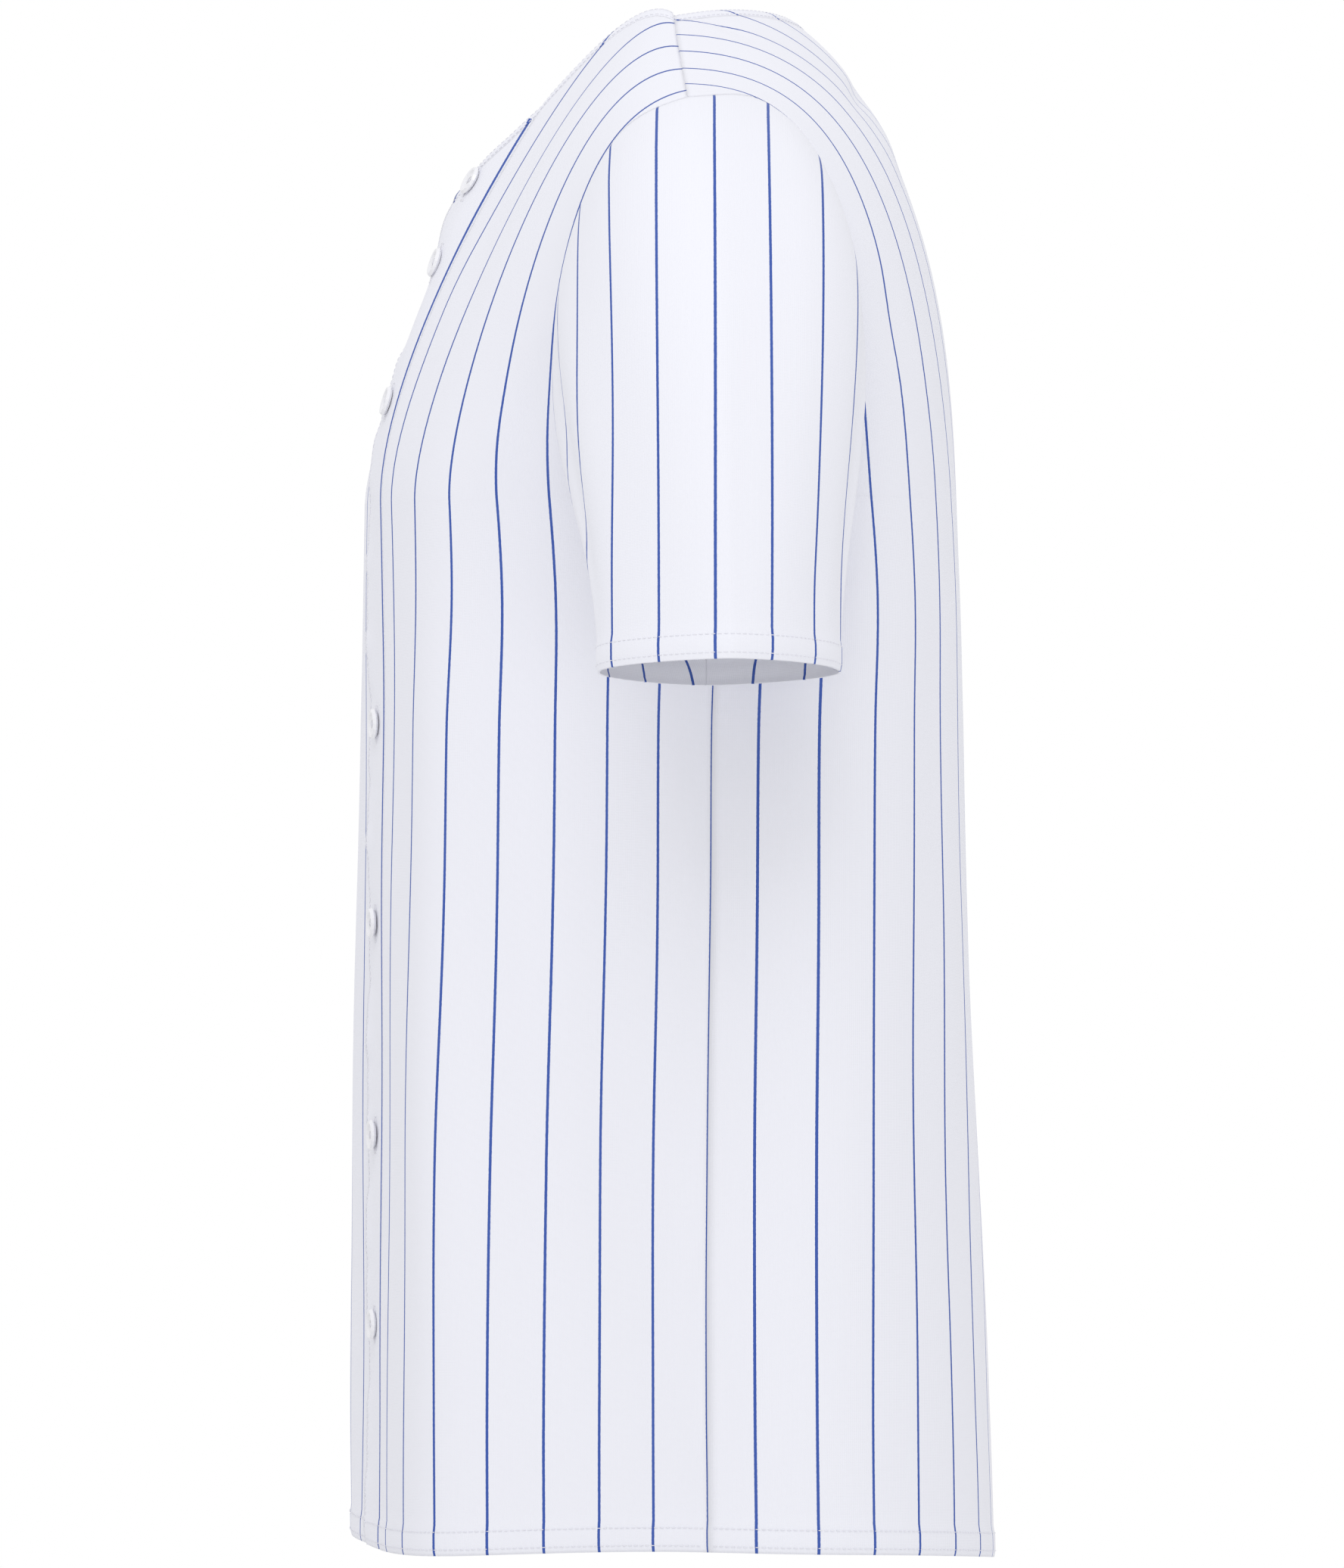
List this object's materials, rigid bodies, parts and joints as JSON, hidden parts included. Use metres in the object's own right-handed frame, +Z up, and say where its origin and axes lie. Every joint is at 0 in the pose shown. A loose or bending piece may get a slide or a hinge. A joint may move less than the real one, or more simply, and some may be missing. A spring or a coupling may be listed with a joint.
{
  "type": "baseball jersey",
  "caption": "Short-sleeved pinstriped jersey with a full button front, a button band and a narrow neckband, in its worn hollow form.",
  "frame": {"origin": "on the centre line between the two shoulders at neck height, where the wearer's shoulders hold the garment up", "axes": "+Z up, the front faces -Y, and +X is towards the wearer's left"},
  "size_m": [0.647, 0.3172, 0.7828],
  "materials": {
    "back_cloth": "white knit with blue pinstripes",
    "front_left_cloth": "white knit with blue pinstripes",
    "front_right_cloth": "white knit with blue pinstripes",
    "placket_left_cloth": "white knit with blue pinstripes",
    "placket_right_cloth": "white knit with blue pinstripes",
    "neckband_cloth": "white knit with blue pinstripes",
    "sleeve_left_cloth": "white knit with blue pinstripes",
    "sleeve_right_cloth": "white knit with blue pinstripes",
    "button_1_resin": "white resin, satin",
    "button_2_resin": "white resin, satin",
    "button_3_resin": "white resin, satin",
    "button_4_resin": "white resin, satin",
    "button_5_resin": "white resin, satin",
    "button_6_resin": "white resin, satin",
    "button_7_resin": "white resin, satin"
  },
  "bodies": {
    "root": {"back": "back_cloth", "front_left": "front_left_cloth", "front_right": "front_right_cloth", "placket_left": "placket_left_cloth", "placket_right": "placket_right_cloth", "neckband": "neckband_cloth", "sleeve_left": "sleeve_left_cloth", "sleeve_right": "sleeve_right_cloth", "button_1": "button_1_resin", "button_2": "button_2_resin", "button_3": "button_3_resin", "button_4": "button_4_resin", "button_5": "button_5_resin", "button_6": "button_6_resin", "button_7": "button_7_resin"}
  },
  "joints": []
}
